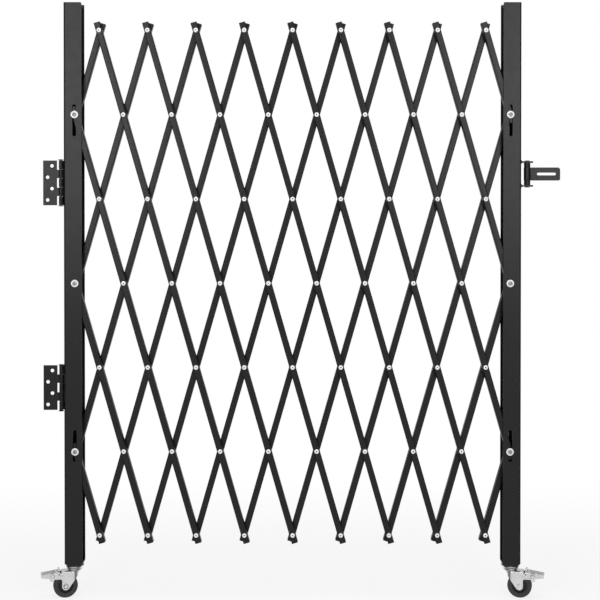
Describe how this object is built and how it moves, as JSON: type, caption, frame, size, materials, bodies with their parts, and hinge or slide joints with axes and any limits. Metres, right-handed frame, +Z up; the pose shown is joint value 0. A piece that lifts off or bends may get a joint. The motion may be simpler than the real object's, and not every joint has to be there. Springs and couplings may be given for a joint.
{
  "type": "folding security gate",
  "caption": "Expanding scissor-lattice security gate on two channel posts with swivel casters, wall hinges and a swinging hasp.",
  "frame": {"origin": "on the floor, under the middle of the gate's whole outline", "axes": "+X from the hinge side to the hasp side, +Y from the front to the back, +Z up"},
  "size_m": [1.332, 0.0674, 1.524],
  "materials": {
    "post_coat": "black powder coat, satin",
    "bar_coat": "black powder coat, satin",
    "hinge_coat": "black powder coat, satin",
    "hasp_coat": "black powder coat, satin",
    "bolt_zinc": "bright zinc plate",
    "caster_zinc": "bright zinc plate, pressed steel",
    "tread_rubber": "matt black rubber",
    "hub_plastic": "matt black plastic",
    "plug_plastic": "matt black plastic"
  },
  "bodies": {
    "wall_leaves": {"wall_leaf_upper": "hinge_coat", "wall_leaf_lower": "hinge_coat", "hinge_pin_upper": "hinge_coat", "hinge_pin_lower": "hinge_coat"},
    "left_post": {"left_post": "post_coat", "post_leaf_upper": "hinge_coat", "post_leaf_lower": "hinge_coat", "left_bolt_middle": "bolt_zinc", "left_foot_plug": "plug_plastic", "left_swivel_cup": "caster_zinc", "left_stem": "caster_zinc"},
    "right_post": {"right_post": "post_coat", "right_bolt_middle": "bolt_zinc", "hasp_pin": "hasp_coat", "right_foot_plug": "plug_plastic", "right_swivel_cup": "caster_zinc", "right_stem": "caster_zinc"},
    "hasp": {"hasp_strap": "hasp_coat"},
    "front_bar_01": {"front_bar_01": "bar_coat", "left_bolt_lower": "bolt_zinc"},
    "front_bar_02": {"front_bar_02": "bar_coat"},
    "front_bar_03": {"front_bar_03": "bar_coat", "left_bolt_upper": "bolt_zinc"},
    "front_bar_04": {"front_bar_04": "bar_coat"},
    "front_bar_05": {"front_bar_05": "bar_coat"},
    "front_bar_06": {"front_bar_06": "bar_coat"},
    "front_bar_07": {"front_bar_07": "bar_coat"},
    "front_bar_08": {"front_bar_08": "bar_coat"},
    "front_bar_09": {"front_bar_09": "bar_coat"},
    "front_bar_10": {"front_bar_10": "bar_coat", "right_bolt_lower": "bolt_zinc"},
    "front_bar_11": {"front_bar_11": "bar_coat"},
    "front_bar_12": {"front_bar_12": "bar_coat", "right_bolt_upper": "bolt_zinc"},
    "rear_bar_01": {"rear_bar_01": "bar_coat"},
    "rear_bar_02": {"rear_bar_02": "bar_coat"},
    "rear_bar_03": {"rear_bar_03": "bar_coat"},
    "rear_bar_04": {"rear_bar_04": "bar_coat"},
    "rear_bar_05": {"rear_bar_05": "bar_coat"},
    "rear_bar_06": {"rear_bar_06": "bar_coat"},
    "rear_bar_07": {"rear_bar_07": "bar_coat"},
    "rear_bar_08": {"rear_bar_08": "bar_coat"},
    "rear_bar_09": {"rear_bar_09": "bar_coat"},
    "rear_bar_10": {"rear_bar_10": "bar_coat"},
    "rear_bar_11": {"rear_bar_11": "bar_coat"},
    "rear_bar_12": {"rear_bar_12": "bar_coat"},
    "left_caster": {"left_fork": "caster_zinc", "left_axle": "caster_zinc", "left_brake_pin": "caster_zinc"},
    "left_wheel": {"left_wheel_hub": "hub_plastic", "left_tyre": "tread_rubber"},
    "left_pedal": {"left_brake_pedal": "caster_zinc"},
    "right_caster": {"right_fork": "caster_zinc", "right_axle": "caster_zinc", "right_brake_pin": "caster_zinc"},
    "right_wheel": {"right_wheel_hub": "hub_plastic", "right_tyre": "tread_rubber"},
    "right_pedal": {"right_brake_pedal": "caster_zinc"}
  },
  "joints": [
    {"name": "gate_swing", "type": "hinge", "parent": "wall_leaves", "child": "left_post", "pos_m": [-0.60957, -0.02263, 0.8075], "axis": [0, 0, 1], "range_deg": [-170, 0]},
    {"name": "lattice_fold", "type": "hinge", "parent": "left_post", "child": "rear_bar_02", "pos_m": [-0.57477, 0.00037, 0.8075], "axis": [0, 1, 0], "range_deg": [-13.2, 15]},
    {"name": "front_bar_02_pivot", "type": "hinge", "parent": "left_post", "child": "front_bar_02", "pos_m": [-0.57477, 0.00037, 0.8075], "axis": [0, 1, 0], "range_deg": [-15.2, 13.4]},
    {"name": "front_bar_05_pivot", "type": "hinge", "parent": "rear_bar_02", "child": "front_bar_05", "pos_m": [-0.38954, 0.00037, 1.45347], "axis": [0, 1, 0], "range_deg": [-30.2, 26.6]},
    {"name": "front_bar_04_pivot", "type": "hinge", "parent": "rear_bar_02", "child": "front_bar_04", "pos_m": [-0.45129, 0.00037, 1.23815], "axis": [0, 1, 0], "range_deg": [-30.2, 26.6]},
    {"name": "front_bar_03_pivot", "type": "hinge", "parent": "rear_bar_02", "child": "front_bar_03", "pos_m": [-0.51303, 0.00037, 1.02282], "axis": [0, 1, 0], "range_deg": [-30.2, 26.6]},
    {"name": "rear_bar_03_pivot", "type": "hinge", "parent": "front_bar_05", "child": "rear_bar_03", "pos_m": [-0.3278, 0.00037, 1.23815], "axis": [0, 1, 0], "range_deg": [-26.6, 30.2]},
    {"name": "rear_bar_04_pivot", "type": "hinge", "parent": "front_bar_05", "child": "rear_bar_04", "pos_m": [-0.26606, 0.00037, 1.02282], "axis": [0, 1, 0], "range_deg": [-26.6, 30.2]},
    {"name": "rear_bar_05_pivot", "type": "hinge", "parent": "front_bar_05", "child": "rear_bar_05", "pos_m": [-0.20431, 0.00037, 0.8075], "axis": [0, 1, 0], "range_deg": [-26.6, 30.2]},
    {"name": "rear_bar_06_pivot", "type": "hinge", "parent": "front_bar_05", "child": "rear_bar_06", "pos_m": [-0.14257, 0.00037, 0.59218], "axis": [0, 1, 0], "range_deg": [-26.6, 30.2]},
    {"name": "rear_bar_07_pivot", "type": "hinge", "parent": "front_bar_05", "child": "rear_bar_07", "pos_m": [-0.08083, 0.00037, 0.37685], "axis": [0, 1, 0], "range_deg": [-26.6, 30.2]},
    {"name": "rear_bar_08_pivot", "type": "hinge", "parent": "front_bar_05", "child": "rear_bar_08", "pos_m": [-0.01909, 0.00037, 0.16153], "axis": [0, 1, 0], "range_deg": [-26.6, 30.2]},
    {"name": "front_bar_11_pivot", "type": "hinge", "parent": "rear_bar_08", "child": "front_bar_11", "pos_m": [0.35137, 0.00037, 1.45347], "axis": [0, 1, 0], "range_deg": [-30.2, 26.6]},
    {"name": "front_bar_10_pivot", "type": "hinge", "parent": "rear_bar_08", "child": "front_bar_10", "pos_m": [0.28963, 0.00037, 1.23815], "axis": [0, 1, 0], "range_deg": [-30.2, 26.6]},
    {"name": "front_bar_09_pivot", "type": "hinge", "parent": "rear_bar_08", "child": "front_bar_09", "pos_m": [0.22788, 0.00037, 1.02282], "axis": [0, 1, 0], "range_deg": [-30.2, 26.6]},
    {"name": "front_bar_08_pivot", "type": "hinge", "parent": "rear_bar_08", "child": "front_bar_08", "pos_m": [0.16614, 0.00037, 0.8075], "axis": [0, 1, 0], "range_deg": [-30.2, 26.6]},
    {"name": "front_bar_07_pivot", "type": "hinge", "parent": "rear_bar_08", "child": "front_bar_07", "pos_m": [0.1044, 0.00037, 0.59218], "axis": [0, 1, 0], "range_deg": [-30.2, 26.6]},
    {"name": "front_bar_06_pivot", "type": "hinge", "parent": "rear_bar_08", "child": "front_bar_06", "pos_m": [0.04266, 0.00037, 0.37685], "axis": [0, 1, 0], "range_deg": [-30.2, 26.6]},
    {"name": "right_post_slide_pivot", "type": "hinge", "parent": "front_bar_11", "child": "right_post", "pos_m": [0.5366, 0.00037, 0.8075], "axis": [0, 1, 0], "range_deg": [-13.4, 15.2]},
    {"name": "rear_bar_09_pivot", "type": "hinge", "parent": "front_bar_11", "child": "rear_bar_09", "pos_m": [0.41311, 0.00037, 1.23815], "axis": [0, 1, 0], "range_deg": [-26.6, 30.2]},
    {"name": "rear_bar_10_pivot", "type": "hinge", "parent": "front_bar_11", "child": "rear_bar_10", "pos_m": [0.47486, 0.00037, 1.02282], "axis": [0, 1, 0], "range_deg": [-26.6, 30.2]},
    {"name": "rear_bar_11_pivot", "type": "hinge", "parent": "front_bar_11", "child": "rear_bar_11", "pos_m": [0.5366, 0.00037, 0.8075], "axis": [0, 1, 0], "range_deg": [-26.6, 30.2]},
    {"name": "rear_bar_01_pivot", "type": "hinge", "parent": "front_bar_04", "child": "rear_bar_01", "pos_m": [-0.51303, 0.00037, 1.45347], "axis": [0, 1, 0], "range_deg": [-26.6, 30.2]},
    {"name": "front_bar_01_pivot", "type": "hinge", "parent": "rear_bar_04", "child": "front_bar_01", "pos_m": [-0.51303, 0.00037, 0.16153], "axis": [0, 1, 0], "range_deg": [-30.2, 26.6]},
    {"name": "front_bar_12_pivot", "type": "hinge", "parent": "rear_bar_09", "child": "front_bar_12", "pos_m": [0.47486, 0.00037, 1.45347], "axis": [0, 1, 0], "range_deg": [-30.2, 26.6]},
    {"name": "rear_bar_12_pivot", "type": "hinge", "parent": "front_bar_09", "child": "rear_bar_12", "pos_m": [0.47486, 0.00037, 0.16153], "axis": [0, 1, 0], "range_deg": [-26.6, 30.2]},
    {"name": "hasp_swing", "type": "hinge", "parent": "right_post", "child": "hasp", "pos_m": [0.5816, -0.00763, 1.087], "axis": [0, 0, 1], "range_deg": [-90, 90]},
    {"name": "left_caster_swivel", "type": "hinge", "parent": "left_post", "child": "left_caster", "pos_m": [-0.57977, 0.00037, 0.08], "axis": [0, 0, 1], "continuous": true},
    {"name": "left_wheel_roll", "type": "hinge", "parent": "left_caster", "child": "left_wheel", "pos_m": [-0.60295, -0.00584, 0.031], "axis": [-0.2588, 0.9659, 0], "continuous": true},
    {"name": "left_brake_press", "type": "hinge", "parent": "left_caster", "child": "left_pedal", "pos_m": [-0.63483, -0.01438, 0.058], "axis": [-0.2588, 0.9659, 0], "range_deg": [-14, 0]},
    {"name": "right_caster_swivel", "type": "hinge", "parent": "right_post", "child": "right_caster", "pos_m": [0.5416, 0.00037, 0.08], "axis": [0, 0, 1], "continuous": true},
    {"name": "right_wheel_roll", "type": "hinge", "parent": "right_caster", "child": "right_wheel", "pos_m": [0.56478, -0.00584, 0.031], "axis": [-0.2588, -0.9659, 0], "continuous": true},
    {"name": "right_brake_press", "type": "hinge", "parent": "right_caster", "child": "right_pedal", "pos_m": [0.59666, -0.01438, 0.058], "axis": [-0.2588, -0.9659, 0], "range_deg": [-14, 0]}
  ],
  "couplings": [
    {"joint": "front_bar_02_pivot", "follows": "lattice_fold", "ratio": -1},
    {"joint": "front_bar_05_pivot", "follows": "lattice_fold", "ratio": -2},
    {"joint": "front_bar_04_pivot", "follows": "lattice_fold", "ratio": -2},
    {"joint": "front_bar_03_pivot", "follows": "lattice_fold", "ratio": -2},
    {"joint": "rear_bar_03_pivot", "follows": "lattice_fold", "ratio": 2},
    {"joint": "rear_bar_04_pivot", "follows": "lattice_fold", "ratio": 2},
    {"joint": "rear_bar_05_pivot", "follows": "lattice_fold", "ratio": 2},
    {"joint": "rear_bar_06_pivot", "follows": "lattice_fold", "ratio": 2},
    {"joint": "rear_bar_07_pivot", "follows": "lattice_fold", "ratio": 2},
    {"joint": "rear_bar_08_pivot", "follows": "lattice_fold", "ratio": 2},
    {"joint": "front_bar_11_pivot", "follows": "lattice_fold", "ratio": -2},
    {"joint": "front_bar_10_pivot", "follows": "lattice_fold", "ratio": -2},
    {"joint": "front_bar_09_pivot", "follows": "lattice_fold", "ratio": -2},
    {"joint": "front_bar_08_pivot", "follows": "lattice_fold", "ratio": -2},
    {"joint": "front_bar_07_pivot", "follows": "lattice_fold", "ratio": -2},
    {"joint": "front_bar_06_pivot", "follows": "lattice_fold", "ratio": -2},
    {"joint": "right_post_slide_pivot", "follows": "lattice_fold", "ratio": 1},
    {"joint": "rear_bar_09_pivot", "follows": "lattice_fold", "ratio": 2},
    {"joint": "rear_bar_10_pivot", "follows": "lattice_fold", "ratio": 2},
    {"joint": "rear_bar_11_pivot", "follows": "lattice_fold", "ratio": 2},
    {"joint": "rear_bar_01_pivot", "follows": "lattice_fold", "ratio": 2},
    {"joint": "front_bar_01_pivot", "follows": "lattice_fold", "ratio": -2},
    {"joint": "front_bar_12_pivot", "follows": "lattice_fold", "ratio": -2},
    {"joint": "rear_bar_12_pivot", "follows": "lattice_fold", "ratio": 2}
  ]
}
